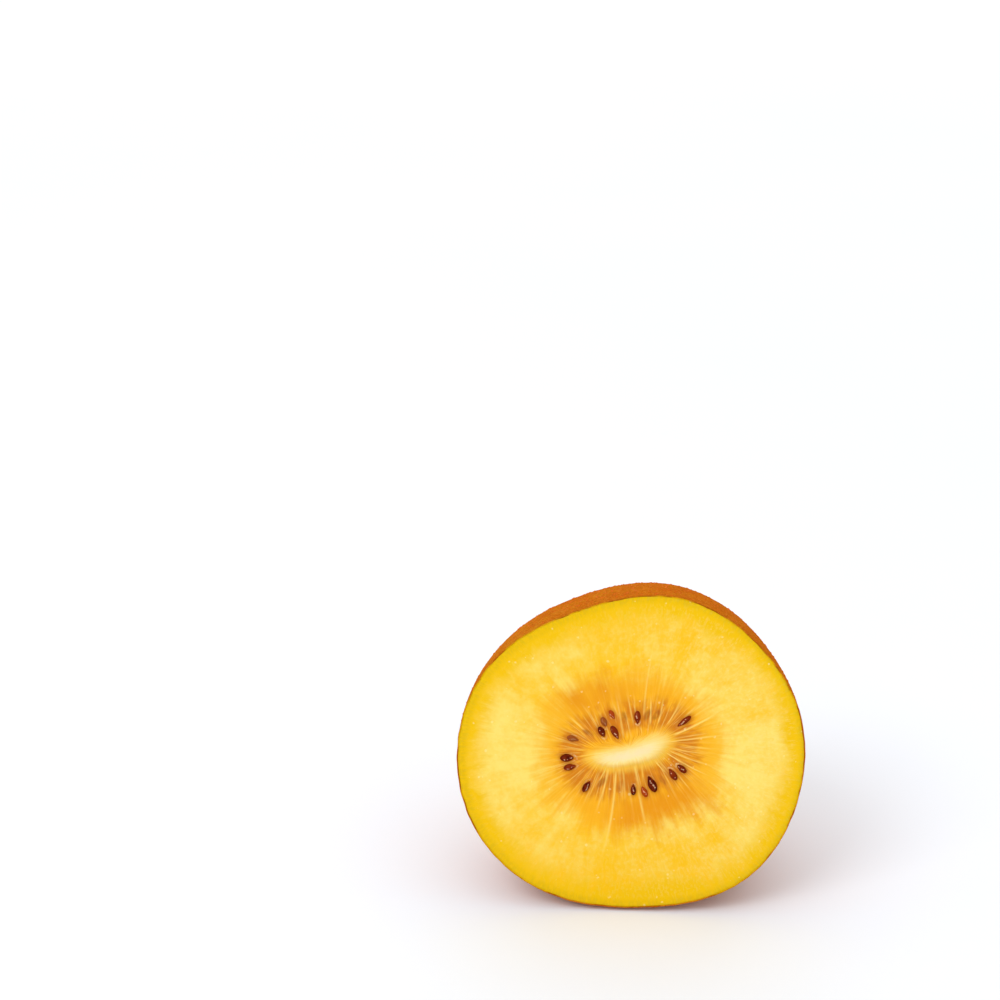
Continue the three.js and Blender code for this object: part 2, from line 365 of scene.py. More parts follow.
def skin_points(shape, turn, share):
    """Points of the skin from the cut (share 1) to the stem end (share 0)."""
    depth = depth_at(shape, share)
    fade = 1 + (SWELL_LEFT_AT_END - 1) * depth / shape.half_length
    radius = share * fruit_radius(shape, turn, fade)
    return np.column_stack([radius * np.cos(turn), depth, radius * np.sin(turn)])


def core_points(cut, turn, share):
    """Points of the core's outline, drawn smaller for a share below 1."""
    along = np.cos(turn - cut.core_turn)
    across = np.sin(turn - cut.core_turn)
    along = share * cut.core_length / 2 * np.sign(along) * np.abs(along) ** CORE_BLUNTNESS
    across = share * cut.core_width / 2 * np.sign(across) * np.abs(across) ** CORE_BLUNTNESS
    cosine, sine = math.cos(cut.core_turn), math.sin(cut.core_turn)
    return np.column_stack([
        cut.core_across + along * cosine - across * sine,
        cut.core_up + along * sine + across * cosine,
    ])


def cut_points(shape, cut, turn, share):
    """Points of the cut, flat, from the core's middle (share 0) to the skin (share 1)."""
    inner = core_points(cut, turn, np.minimum(share / CORE_SHARE, 1))
    radius = fruit_radius(shape, turn) - FLESH_INSET * shape.skin_thickness
    outer = np.column_stack([radius * np.cos(turn), radius * np.sin(turn)])
    way = np.maximum((share - CORE_SHARE) / (1 - CORE_SHARE), 0)[:, None]
    return inner + (outer - inner) * way


def core_depth(cut, flat):
    """How deep in the pale of the core a point of the cut is: 1 in its middle, 0 on its outline."""
    off = flat - [cut.core_across, cut.core_up]
    cosine, sine = math.cos(cut.core_turn), math.sin(cut.core_turn)
    way = (off @ [cosine, sine]) / (cut.core_length / 2)
    inside = np.clip(way, -1, 1)
    middle = cut.core_slant * inside - cut.core_sag * (1 - inside**2)
    broad = cut.core_width / 2 * (1 + CORE_FLARE * inside)
    across = (off @ [-sine, cosine] - middle) / broad
    return np.maximum(1 - np.sqrt(across**2 + way**4), -1)


def seed_place(cut, degrees, distance):
    """A seed's middle on the cut."""
    turn = math.radians(degrees)
    return Vector((
        cut.core_across + distance * MM * math.cos(turn),
        cut.core_up + distance * MM * math.sin(turn),
    ))


def face_middle(shape):
    """Where the frame has the middle of the cut face."""
    turn = np.linspace(0, FULL_TURN, OUTLINE_STEPS)
    radius = fruit_radius(shape, turn)
    across, up = radius * np.cos(turn), radius * np.sin(turn)
    lean = shape.lean_back
    return Vector((
        CAD_LOW.x - across.min(),
        CAD_LOW.y - up.min() * math.sin(lean),
        CAD_HIGH.z - up.max() * math.cos(lean),
    ))


# ---- Mesh helpers --------------------------------------------------------------------------------


@contextmanager
def editing():
    """Edit mode with all of the active piece selected."""
    bpy.ops.object.mode_set(mode="EDIT")
    bpy.ops.mesh.select_all(action="SELECT")
    yield
    bpy.ops.object.mode_set(mode="OBJECT")


def pick_only(piece):
    """Selects the piece alone and makes it the active one."""
    bpy.ops.object.select_all(action="DESELECT")
    piece.select_set(True)
    bpy.context.view_layer.objects.active = piece


def pick_open_rim():
    """In edit mode, selects the open rim alone."""
    bpy.ops.mesh.select_all(action="DESELECT")
    bpy.ops.mesh.select_non_manifold(extend=False, use_boundary=True, use_wire=False)


def sphere(segments, rings, radius=1.0):
    """A new UV sphere, the only object selected."""
    bpy.ops.object.select_all(action="DESELECT")
    bpy.ops.mesh.primitive_uv_sphere_add(segments=segments, ring_count=rings, radius=radius)
    return bpy.context.object


def cut_off_below():
    """In edit mode, removes what lies below z = 0 and leaves the cut open."""
    bpy.ops.mesh.bisect(plane_co=(0, 0, 0), plane_no=(0, 0, 1), clear_inner=True)


def dome(name, segments, rings):
    """A dome of radius 1 over z = 0, open below: half of a UV sphere, each face cut 4 by 4."""
    piece = sphere(segments // 4, 2 * rings // 4)
    piece.name = piece.data.name = name
    with editing():
        cut_off_below()
        bpy.ops.mesh.select_all(action="SELECT")
        bpy.ops.mesh.subdivide(number_cuts=3)
    return piece


def points_of(piece):
    """The piece's vertices, one row each."""
    points = np.empty(len(piece.data.vertices) * 3)
    piece.data.vertices.foreach_get("co", points)
    return points.reshape(-1, 3)


def set_points(piece, points):
    """Moves the piece's vertices."""
    piece.data.vertices.foreach_set("co", np.asarray(points).ravel())
    piece.data.update()


def dome_angles(piece):
    """For each vertex of a dome, its angle round the pole and its height above the rim as an angle."""
    x, y, z = points_of(piece).T
    return np.arctan2(y, x), np.arctan2(np.maximum(z, 0), np.hypot(x, y))


def store(piece, name, values, rest=0.0):
    """Keeps a value or vector for each vertex; the vertices that came after them get the rest."""
    extra = len(piece.data.vertices) - len(values)
    values = np.concatenate([values, np.full((extra, *values.shape[1:]), rest)])
    kind, field = ("FLOAT", "value") if values.ndim == 1 else ("FLOAT_VECTOR", "vector")
    kept = piece.data.attributes.new(name, kind, "POINT")
    kept.data.foreach_set(field, values.astype(np.float32).ravel())


def lumps(points, size, seed):
    """Smooth noise of about -1 to 1 for each point, with lumps of that size."""
    shift = Vector((seed, 2 * seed, -seed))
    return np.array([noise.noise(Vector(p) / size + shift) for p in points])


def close_behind(steps):
    """Extrudes the active piece's open rim back through steps of (share of it, depth) to a point."""
    last_share, last_depth = 1.0, 0.0
    with editing():
        pick_open_rim()
        for share, depth in steps:
            move = (0, depth - last_depth, 0)
            bpy.ops.mesh.extrude_region_move(TRANSFORM_OT_translate={"value": move})
            ratio = share / last_share
            bpy.ops.transform.resize(value=(ratio, 1, ratio), center_override=(0, 0, 0))
            last_share, last_depth = share, depth
        bpy.ops.mesh.merge(type="CENTER")


def stand(piece, shape):
    """Leans the upright piece back, sets it where the frame has it and keeps that in its mesh."""
    pick_only(piece)
    piece.location = face_middle(shape)
    piece.rotation_euler = (-shape.lean_back, 0, 0)
    bpy.ops.object.transform_apply(location=True, rotation=True, scale=True)


def press_flat(piece, height):
    """Presses what lies lower than a height up to it, as the skin is where the half stands."""
    points = points_of(piece)
    points[:, 2] = np.maximum(points[:, 2], height)
    set_points(piece, points)


def finish_piece(piece, material, replaces=False):
    """Smooth faces, material and body; where the piece replaces the plain solid, that is hidden."""
    pick_only(piece)
    bpy.ops.object.shade_smooth()
    piece.data.materials.clear()
    piece.data.materials.append(material)
    if replaces:
        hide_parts(NODE)
    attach(piece, BODY)


# ---- Material helpers ----------------------------------------------------------------------------
# A socket knows the node tree it is in, so these add their nodes beside their first socket.


def add_node(tree, kind, inputs=None, **settings):
    """A node with its settings, and its inputs set to values or linked from sockets."""
    node = tree.nodes.new(kind)
    for name, value in settings.items():
        setattr(node, name, value)
    for name, value in (inputs or {}).items():
        fill(node.inputs[name], value)
    return node


def fill(socket, value):
    """Links a socket from another one, or sets it to a value."""
    if isinstance(value, bpy.types.NodeSocket):
        socket.id_data.links.new(value, socket)
    elif socket.type == "RGBA":
        socket.default_value = (*value, 1)
    else:
        socket.default_value = value


def maths(operation, first, second=0.0):
    """One step of arithmetic on a socket and a number or another socket."""
    node = add_node(first.id_data, "ShaderNodeMath", {0: first, 1: second}, operation=operation)
    return node.outputs["Value"]


def scaled(value, factor):
    """A socket times a number or another socket."""
    return maths("MULTIPLY", value, factor)


def added(*terms):
    """The sum of sockets and numbers."""
    total = terms[0]
    for term in terms[1:]:
        total = maths("ADD", total, term)
    return total


def uneven(mask, amount):
    """A mask of 0 to 1 as an amount of unevenness round 0."""
    return scaled(maths("SUBTRACT", mask, 0.5), amount)


def spread(value, low, high, out_low=0.0, out_high=1.0):
    """A value from low to high, eased to out_low to out_high."""
    inputs = {"Value": value, "From Min": low, "From Max": high, "To Min": out_low, "To Max": out_high}
    node = add_node(value.id_data, "ShaderNodeMapRange", inputs, interpolation_type="SMOOTHSTEP")
    return node.outputs["Result"]


def mixed(share, first, second):
    """Two colours mixed by a share."""
    # The node keeps sockets for each kind of value under the same names, so these go by number
    inputs = {0: share, 6: first, 7: second}
    return add_node(share.id_data, "ShaderNodeMix", inputs, data_type="RGBA").outputs[2]


def layered(base, *layers):
    """A colour under layers of (mask, colour), from the lowest to the topmost."""
    for mask, tint in layers:
        base = mixed(mask, base, tint)
    return base


def ramp(value, stops):
    """A colour ramp through stops of (place, colour)."""
    node = add_node(value.id_data, "ShaderNodeValToRGB", {"Fac": value})
    elements = node.color_ramp.elements
    while len(elements) < len(stops):
        elements.new(1)
    for element, (place, tint) in zip(elements, stops):
        element.position = place
        element.color = (*tint, 1)
    return node.outputs["Color"]


def stored(tree, name, output="Fac"):
    """A value or vector that a piece keeps for each vertex."""
    return add_node(tree, "ShaderNodeAttribute", attribute_name=name).outputs[output]


def axes_of(vector):
    """The X, Y and Z of a vector."""
    return add_node(vector.id_data, "ShaderNodeSeparateXYZ", {"Vector": vector}).outputs


def noise_at(place, scale, detail):
    """Plain noise of 0 to 1."""
    inputs = {"Vector": place, "Scale": scale, "Detail": detail}
    return add_node(place.id_data, "ShaderNodeTexNoise", inputs).outputs["Fac"]


def mask_group(name, fill_in, **inputs):
    """A node group from a vector and values to a mask, built once by fill_in and then found again."""
    known = bpy.data.node_groups.get(name)
    if known:
        return known
    group = bpy.data.node_groups.new(name, "ShaderNodeTree")
    group.interface.new_socket("Vector", in_out="INPUT", socket_type="NodeSocketVector")
    for label, default in inputs.items():
        socket = group.interface.new_socket(label, in_out="INPUT", socket_type="NodeSocketFloat")
        socket.default_value = default
    group.interface.new_socket("Mask", in_out="OUTPUT", socket_type="NodeSocketFloat")
    mask = fill_in(group.nodes.new("NodeGroupInput").outputs)
    group.links.new(mask, group.nodes.new("NodeGroupOutput").inputs["Mask"])
    return group


def fill_mottle(source):
    """Soft patches over finer ones: where a finish is a little darker or lighter."""
    return spread(noise_at(source["Vector"], source["Scale"], source["Detail"]), 0.3, 0.7)


def fill_specks(source):
    """Small lobed specks of uneven size, thinned out at random."""
    group = source["Vector"].id_data
    places = {"Vector": source["Vector"], "Scale": source["Scale"]}
    cells = add_node(group, "ShaderNodeTexVoronoi", places).outputs
    pick = add_node(group, "ShaderNodeSeparateColor", {"Color": cells["Color"]}).outputs
    size = scaled(source["Size"], added(pick["Red"], 0.3))
    lobes = noise_at(source["Vector"], scaled(source["Scale"], 2.5), 1.0)
    near = added(maths("DIVIDE", cells["Distance"], size), uneven(lobes, 1.6))
    kept = maths("LESS_THAN", pick["Green"], source["Share"])
    return scaled(spread(near, 0.4, 1.0, 1.0, 0.0), kept)


def fill_streaks(source):
    """Uneven lines that run out along the rays, from a vector of (cosine, sine, share of the way)."""
    group = source["Vector"].id_data
    sizes = {"X": source["Count"], "Y": source["Count"], "Z": source["Stretch"]}
    size = add_node(group, "ShaderNodeCombineXYZ", sizes).outputs["Vector"]
    inputs = {0: source["Vector"], 1: size}
    stretched = add_node(group, "ShaderNodeVectorMath", inputs, operation="MULTIPLY").outputs["Vector"]
    return noise_at(stretched, 1.0, 2.0)


def mask_from(group, vector, **inputs):
    """The mask that a node group gives for these inputs."""
    inputs = {"Vector": vector, **inputs}
    return add_node(vector.id_data, "ShaderNodeGroup", inputs, node_tree=group).outputs["Mask"]


def mottle(place, scale, detail=4.0):
    """A mask of soft patches."""
    group = mask_group("Mottle", fill_mottle, Scale=1.0, Detail=4.0)
    return mask_from(group, place, Scale=scale, Detail=detail)


def specks(place, scale, size, share):
    """A mask of small specks: their size in their cells, and the share of the cells that has one."""
    group = mask_group("Specks", fill_specks, Scale=1.0, Size=0.25, Share=0.5)
    return mask_from(group, place, Scale=scale, Size=size, Share=share)


def streaks(polar, count, stretch):
    """A mask of lines along the rays: how many, and how soon they change along their length."""
    group = mask_group("Streaks", fill_streaks, Count=10.0, Stretch=2.0)
    return mask_from(group, polar, Count=count, Stretch=stretch)


def new_material(name, **shader_values):
    """A material with its Principled shader, set to plain values, and the object's own coordinates."""
    material = bpy.data.materials.new(name)
    material.use_nodes = True
    tree = material.node_tree
    shader = tree.nodes["Principled BSDF"]
    for label, value in shader_values.items():
        shader.inputs[label.replace("_", " ")].default_value = value
    place = tree.nodes.new("ShaderNodeTexCoord").outputs["Object"]
    return material, shader, place


def connect(shader, **sockets):
    """Links sockets to the shader's inputs."""
    for label, socket in sockets.items():
        fill(shader.inputs[label.replace("_", " ")], socket)


def bump(height, depth, strength):
    """A bump normal from a height of 0 to 1 that stands for a real depth."""
    inputs = {"Height": height, "Distance": depth, "Strength": strength}
    return add_node(height.id_data, "ShaderNodeBump", inputs).outputs["Normal"]


# ---- Materials -----------------------------------------------------------------------------------


def flesh_material(colours):
    """Moist flesh: pale core, orange soft zone with rays, yellow outer flesh, greener at the skin."""
    material, shader, place = new_material(
        "Moist golden flesh", Subsurface_Weight=0.25, Subsurface_Scale=0.0012, Specular_IOR_Level=0.05,
        Coat_Weight=0.1, Coat_Roughness=0.09, Subsurface_Radius=(1.0, 0.6, 0.15),
    )
    tree = material.node_tree
    polar = stored(tree, "polar", "Vector")
    axes = axes_of(polar)
    share = axes["Z"]
    upright = scaled(axes["Y"], axes["Y"])
    # Up to 1 a little left of the top and right of the bottom, where the soft zone reaches furthest
    lower = scaled(axes["Y"], -0.2)
    slanted = added(scaled(upright, 1.1), lower, scaled(scaled(axes["X"], axes["Y"]), -1.6), -0.55)
    marks = axes_of(stored(tree, "marks", "Vector"))
    broad = streaks(polar, 4.5, 3.0)
    ragged = streaks(polar, 19.0, 4.0)
    clots = streaks(polar, 11.0, 11.0)
    fine = streaks(polar, 44.0, 4.0)
    dashes = streaks(polar, 75.0, 26.0)
    patches = mottle(place, 140.0, 1.5)
    small = mottle(place, 620.0)
    cells = noise_at(place, 1900.0, 2.0)

    # Outer flesh: paler to the left and right and near the soft zone, deeper above and below the core
    tone = added(
        scaled(patches, 0.25), scaled(broad, 0.7), scaled(ragged, 0.34), scaled(upright, -0.42),
        spread(share, 0.55, 0.74, 0.06, 0.0), uneven(small, 0.2), uneven(cells, 0.3),
    )
    sideways = scaled(axes["X"], -0.012)
    rim = added(
        share, uneven(patches, 0.05), uneven(small, 0.03), uneven(ragged, 0.12), uneven(dashes, 0.08),
        sideways,
    )
    near_skin = added(share, sideways, uneven(ragged, 0.02))
    outer = layered(
        colours.flesh,
        (spread(tone, 0.04, 0.95), colours.flesh_pale),
        (spread(rim, 0.82, 0.95), colours.rim),
        (scaled(spread(near_skin, 0.945, 0.985), spread(dashes, 0.4, 0.6, 0.4, 1.0)), colours.edge),
    )

    # Soft zone: brownest where the seeds lie, with clear dark streaks between the rays
    zone_share = added(share, uneven(ragged, 0.1), uneven(small, 0.04))
    zone = ramp(zone_share, [
        (0.2, colours.zone_core), (0.27, colours.zone_seeds), (0.34, colours.zone_seeds),
        (0.42, colours.zone),
    ])
    thin = scaled(spread(upright, 0.05, 0.7, 0.85, 0.1), spread(share, 0.36, 0.5))
    thickest = added(slanted, uneven(broad, 1.0))
    thick = scaled(spread(thickest, 0.3, 0.95, 0.0, 0.8), spread(share, 0.34, 0.46))
    seed_ring = scaled(spread(share, 0.2, 0.27), spread(share, 0.36, 0.46, 1.0, 0.0))
    clear = scaled(spread(fine, 0.36, 0.5, 1.0, 0.0), spread(share, 0.28, 0.44, 0.6, 0.06))
    pale = scaled(spread(fine, 0.54, 0.68), spread(share, 0.3, 0.5, 0.4, 0.06))
    zone = layered(
        zone,
        (thin, colours.zone_edge),
        (thick, colours.zone_deep),
        (scaled(seed_ring, spread(clots, 0.44, 0.6, 0.0, 0.42)), colours.gel),
        (scaled(seed_ring, spread(clots, 0.34, 0.46, 0.4, 0.0)), colours.zone_edge),
        (clear, colours.deep),
        (pale, colours.ray),
    )
    reach = added(
        share, uneven(ragged, 0.16), uneven(patches, 0.07), uneven(fine, 0.06), uneven(small, 0.03),
        scaled(slanted, -0.035),
    )

    # The core is ragged where the rays leave it; "marks" holds rays, gel and seeds under the surface
    core = added(stored(tree, "core"), uneven(fine, 0.5), uneven(clots, 0.4), uneven(small, 0.08))
    # Torn husk edges beside the seeds, partly painted glints
    torn_and_glint = scaled(stored(tree, "husk_glint"), spread(cells, 0.42, 0.56))
    flesh = layered(
        outer,
        (spread(reach, 0.46, 0.64, 1.0, 0.0), zone),
        (spread(added(core, lower), -0.7, 0.15, 0.0, 0.7), colours.core_edge),
        (spread(core, -0.2, 0.7), colours.core),
        (spread(core, 0.35, 1.0), colours.core_heart),
        (marks["X"], colours.ray),
        (marks["Y"], colours.gel),
        (scaled(marks["Z"], spread(small, 0.0, 0.8, 0.3, 1.0)), colours.sunken),
        (torn_and_glint, colours.grain_and_glint),
    )

    # Pale dashes and grain of the cells, partly painted wet glints, strongest to the right,
    # and a few bright specks that are painted glints
    outside = scaled(spread(share, 0.4, 0.7), spread(share, 0.93, 0.97, 1.0, 0.3))
    sided = scaled(spread(axes["X"], -0.6, 0.7, 0.03, 0.1), outside)
    dots = scaled(specks(place, 1100.0, 0.24, 0.16), spread(share, 0.2, 0.3, 0.0, 0.36))
    flesh = layered(
        flesh,
        (scaled(spread(dashes, 0.52, 0.68), sided), colours.grain_and_glint),
        (scaled(spread(cells, 0.5, 0.68), scaled(sided, 0.7)), colours.grain_and_glint),
        (dots, colours.grain_and_glint),
    )
    height = added(scaled(cells, 0.7), scaled(fine, 0.5))
    connect(
        shader, Base_Color=flesh, Roughness=spread(cells, 0.3, 0.7, 0.36, 0.56),
        Normal=bump(height, 0.07 * MM, 0.7),
    )
    return material


def skin_material(colours):
    """Dry waxy skin: brown with greenish gold patches, a fine grain and small flat spots."""
    material, shader, place = new_material("Waxy brown skin", Specular_IOR_Level=0.0)
    tree = material.node_tree
    distance = stored(tree, "stem")
    patches = mottle(place, 85.0)
    blush = mottle(place, 330.0)
    grain = mottle(place, 1500.0)
    fuzz = noise_at(place, 4300.0, 2.0)
    spots = specks(place, 1700.0, 0.5, 0.6)
    pores = specks(place, 2300.0, 0.45, 0.5)
    lines = streaks(stored(tree, "polar", "Vector"), 30.0, 9.0)

    # Round the stem the skin is paler, and next to the scar it is brown with lines that run to it
    pale = scaled(spread(distance, 0.008, 0.019, 0.75, 0.0), spread(patches, 0.1, 0.9, 0.5, 1.0))
    near = spread(added(distance, uneven(patches, 0.004), uneven(blush, 0.002)), 0.0065, 0.012, 1.0, 0.0)
    # The skin's own thickness at the cut, in places as yellow as the flesh
    bare = added(patches, uneven(blush, 0.5))
    edge = layered(
        colours.cut_skin,
        (spread(blush, 0.3, 0.7), colours.skin_light),
        (spread(bare, 0.35, 0.65, 0.0, 0.9), colours.rim),
    )
    base = layered(
        colours.skin,
        (patches, colours.skin_light),
        (scaled(blush, 0.45), colours.skin_red),
        (pale, colours.skin_stem),
        (scaled(grain, 0.3), colours.skin_grain),
        (spread(fuzz, 0.36, 0.48, 0.3, 0.0), colours.skin_grain),
        (spread(fuzz, 0.52, 0.66, 0.0, 0.3), colours.skin_stem),
        (scaled(pores, 0.45), colours.skin_grain),
        (scaled(spots, spread(distance, 0.012, 0.022, 0.4, 0.66)), colours.spot),
        (scaled(near, spread(lines, 0.35, 0.65, 0.25, 0.65)), colours.skin_shade),
        (stored(tree, "cut"), edge),
    )
    height = added(
        scaled(spots, 1.2), scaled(grain, 0.4), scaled(pores, -0.4), scaled(fuzz, 0.6),
        scaled(lines, scaled(near, 1.5)),
    )
    rough = spread(grain, 0.0, 1.0, 0.42, 0.6)
    connect(shader, Base_Color=base, Roughness=rough, Normal=bump(height, 0.1 * MM, 0.9))
    return material


def spot_material(colours):
    """Corky orange spots, each of its own tone, with painted shade darkening their foot."""
    material, shader, place = new_material("Corky spots", Specular_IOR_Level=0.0)
    grain = mottle(place, 2600.0)
    base = layered(
        colours.skin_red,
        (mottle(place, 520.0), colours.spot),
        (scaled(grain, 0.45), colours.spot_light),
        # Painted shade round the foot of each spot
        (scaled(stored(material.node_tree, "painted_foot_shade"), 0.34), colours.cork_dark_and_spot_shade),
    )
    rough = spread(grain, 0, 1, 0.5, 0.72)
    connect(shader, Base_Color=base, Roughness=rough, Normal=bump(grain, 0.05 * MM, 0.7))
    return material


def scar_material(colours):
    """Crumbly cork, paler round the hollow and dark in its cracks."""
    material, shader, place = new_material("Stem scar cork", Specular_IOR_Level=0.03)
    tree = material.node_tree
    tone = mottle(place, 420.0)
    crumbs = mottle(place, 1100.0)
    grain = mottle(place, 2600.0)
    dark = stored(tree, "dark")
    inner = spread(added(stored(tree, "stem"), uneven(tone, 0.0018)), 0.0028, 0.0046, 0.85, 0.0)
    base = layered(
        colours.scar,
        (scaled(tone, 0.55), colours.skin_red),
        (inner, colours.scar_inner),
        (scaled(crumbs, 0.55), colours.cork_dark_and_spot_shade),
        (scaled(grain, 0.3), colours.spot_light),
        (spread(dark, 0.0, 0.5, 0.0, 0.8), colours.cork_dark_and_spot_shade),
        (spread(added(dark, uneven(crumbs, 0.3)), 0.45, 0.95), colours.hollow),
    )
    height = added(crumbs, scaled(grain, 0.5))
    rough = spread(grain, 0, 1, 0.6, 0.85)
    connect(shader, Base_Color=base, Roughness=rough, Normal=bump(height, 0.16 * MM, 0.9))
    return material


def fibre_material(colours):
    """Dry dark fibres."""
    material, shader, place = new_material("Stalk fibres", Specular_IOR_Level=0.1)
    tone = mottle(place, 900.0)
    base = mixed(tone, colours.hollow, colours.fibre)
    connect(shader, Base_Color=base, Roughness=spread(tone, 0, 1, 0.6, 0.8))
    return material


def seed_material(colours, tone):
    """A seed coat with fine pits, and a painted highlight of a wet film along its middle."""
    material, shader, place = new_material(
        f"Seed coat, {tone}", Specular_IOR_Level=0.0, Coat_Weight=0.04, Coat_Roughness=0.08,
    )
    tree = material.node_tree
    broken = mottle(place, 3600.0, 1.0)
    marbled = mottle(place, 1700.0, 2.0)
    pits = add_node(tree, "ShaderNodeTexVoronoi", {"Vector": place, "Scale": 5200.0}).outputs["Distance"]
    # How bright the painted highlight is: weak on the pale husks
    glint_strength = 0.15 if tone == "pale" else 0.55
    base = layered(
        getattr(colours, f"seed_{tone}"),
        (scaled(marbled, 0.4), colours.seed_coat),
        (spread(scaled(stored(tree, "painted_glint"), broken), 0.25, 0.7, 0.0, glint_strength), colours.seed_painted_glint),
    )
    rough = spread(marbled, 0, 1, 0.26, 0.42)
    connect(shader, Base_Color=base, Roughness=rough, Normal=bump(pits, 0.04 * MM, 0.6))
    return material


# ---- Flesh ---------------------------------------------------------------------------------------


def drawn_rays(cut, draw):
    """The strongest rays, then weak ones in between."""
    rays = [(*row, draw.uniform(*STRONG_RAY_WIDTH)) for row in RAYS]
    for index in range(cut.ray_count):
        start_turn = 360 * (index + draw.uniform(*WEAK_RAY_SHIFT)) / cut.ray_count
        start = draw.uniform(*WEAK_RAY_START)
        end = start + draw.uniform(*WEAK_RAY_LENGTH)
        strength = 0.5 * draw.random() ** 1.5 + 0.06
        width = draw.uniform(*WEAK_RAY_WIDTH)
        rays.append((start_turn, start, start_turn + draw.uniform(*WEAK_RAY_TURN), end, strength, width))
    return rays


def ray_marks(shape, cut, turn, share, draw):
    """Strength of the pale rays at each point of the cut."""
    step = 0.01
    ahead = cut_points(shape, cut, turn + step, share)
    behind = cut_points(shape, cut, turn - step, share)
    stretch = np.linalg.norm(ahead - behind, axis=1) / (2 * step)
    marks = np.zeros_like(turn)
    for first_turn, start, last_turn, end, strength, width in drawn_rays(cut, draw):
        way = np.clip((share - start) / (end - start), -0.2, 1)
        middle = np.radians(first_turn + (last_turn - first_turn) * way)
        off = np.abs((turn - middle + math.pi) % FULL_TURN - math.pi) * stretch
        along = smoothstep(share, start - 0.01, start + 0.03) * (1 - smoothstep(way, 0.45, 1))
        marks = np.maximum(marks, strength * along * bell(off / (width * MM)))
    return marks


def seed_distance(cut, flat, seed, margin):
    """How far each point of the cut lies from a seed's middle, and the way there in metres.

    The first is 1 where the point is on the seed's outline, set out by the margin.
    """
    degrees, distance, broad, long, wide = seed
    off = flat - np.array(seed_place(cut, degrees, distance))
    turn = math.radians(broad)
    along = off @ [math.cos(turn), math.sin(turn)]
    across = off @ [-math.sin(turn), math.cos(turn)]
    return np.hypot(along / (long / 2 * MM + margin), across / (wide / 2 * MM + margin)), off


def seed_halo(cut, flat, seeds, margin):
    """A soft spot round each seed."""
    halo = np.zeros(len(flat))
    for seed in seeds:
        distance, _ = seed_distance(cut, flat, seed, margin)
        halo = np.maximum(halo, 1 - smoothstep(distance, 0.5, 1.4))
    return halo


def husk_glint_marks(cut, flat, draw):
    """Pale torn edges beside the seeds, partly painted glints, mostly at the end that faces the core."""
    marks = np.zeros(len(flat))
    for row in SEEDS:
        distance, off = seed_distance(cut, flat, row[:5], HUSK_GLINT_MARGIN)
        inward = math.radians(row[0] + 180)
        facing = np.arctan2(off[:, 1], off[:, 0]) - inward - draw.uniform(*HUSK_GLINT_TURN)
        lit = np.maximum(np.cos(facing), 0) ** 3
        strength = draw.uniform(*HUSK_GLINT_STRENGTH)
        marks = np.maximum(marks, strength * lit * bell((distance - 1) / HUSK_GLINT_WIDTH))
    return marks


def flesh_relief(cut, share, core, rays, sockets, grain):
    """How far the cut stands proud of its plane."""
    core = cut.core_rise * smoothstep(core, -0.2, 0.4)
    zone = smoothstep(share, 0.19, 0.28) * (1 - smoothstep(share, 0.42, 0.62))
    sunk = cut.zone_sink * zone * (1 - core / cut.core_rise)
    edge = EDGE_DROP * smoothstep(share, 0.985, 1.0)
    return core - sunk + cut.ray_rise * rays - SOCKET_DEPTH * sockets - edge + GRAIN_HEIGHT * grain


def body_steps(shape):
    """The edge loops of the flesh behind the cut, as shares of the rim and depths."""
    deepest = shape.half_length - FLESH_SHORT
    gap = shape.skin_thickness + FLESH_GAP
    steps = [FIRST_LOOP]
    for way in FLESH_LOOPS:
        depth = min(max(depth_at(shape, way) - gap, 0), deepest)
        steps.append((FLESH_SHARE * way, FLESH_SHARE * depth))
    return steps


class KIWI_OT_flesh(bpy.types.Operator):
    """Makes the flesh, from its cut face to the back of the half"""

    bl_idname = "kiwi.flesh"
    bl_label = "Flesh"

    def execute(self, context):
        scene = context.scene
        shape, cut = scene.kiwi_shape, scene.kiwi_cut
        draw = random.Random(11)
        flesh = dome("flesh", FACE_SEGMENTS, FACE_RINGS)
        turn, height = dome_angles(flesh)
        share = 1 - height / (math.pi / 2)
        flat = cut_points(shape, cut, turn, share)
        rays = ray_marks(shape, cut, turn, share, draw)
        halo = seed_halo(cut, flat, [row[:5] for row in SEEDS], GEL_MARGIN)
        deeper = [(*row, row[0], *SUNKEN_SIZE) for row in SUNKEN_SEEDS]
        sunken = seed_halo(cut, flat, deeper, SUNKEN_MARGIN)
        husk_glint = husk_glint_marks(cut, flat, draw)
        core = core_depth(cut, flat)
        grain = lumps(np.column_stack([flat[:, 0], 0 * turn, flat[:, 1]]), GRAIN_LENGTH, seed=3)
        relief = flesh_relief(cut, share, core, rays, halo, grain)
        flat *= (1 + smoothstep(share, 0.93, 1) * nicks(shape, turn) / shape.face_radius)[:, None]
        set_points(flesh, np.column_stack([flat[:, 0], -relief, flat[:, 1]]))
        close_behind(body_steps(shape))
        store(flesh, "polar", np.column_stack([np.cos(turn), np.sin(turn), share]), rest=(1, 0, 0.95))
        store(flesh, "marks", np.column_stack([rays, halo, sunken]) * MARK_STRENGTHS)
        store(flesh, "core", core, rest=-1)
        store(flesh, "husk_glint", husk_glint)
        stand(flesh, shape)
        press_flat(flesh, shape.skin_thickness + FLESH_LIFT)
        finish_piece(flesh, flesh_material(scene.kiwi_colours), replaces=True)
        return {"FINISHED"}


# ---- Skin ----------------------------------------------------------------------------------------

STEM_SIDE = 0.8  # how high on the dome, as an angle, the side that holds the stem begins
SCAR_DIP = 2.4 * MM
RING_FADES = (3 * MM, 5 * MM)  # outside the ring's middle, where it runs out into the skin
NICK_BAND = 2 * MM  # behind the cut, where the knife's nicks give way to the skin's own unevenness
DENT_HEIGHT, DENT_LENGTH = 0.1 * MM, 9 * MM
ROUGH_HEIGHT, ROUGH_LENGTH = 0.02 * MM, 1.2 * MM


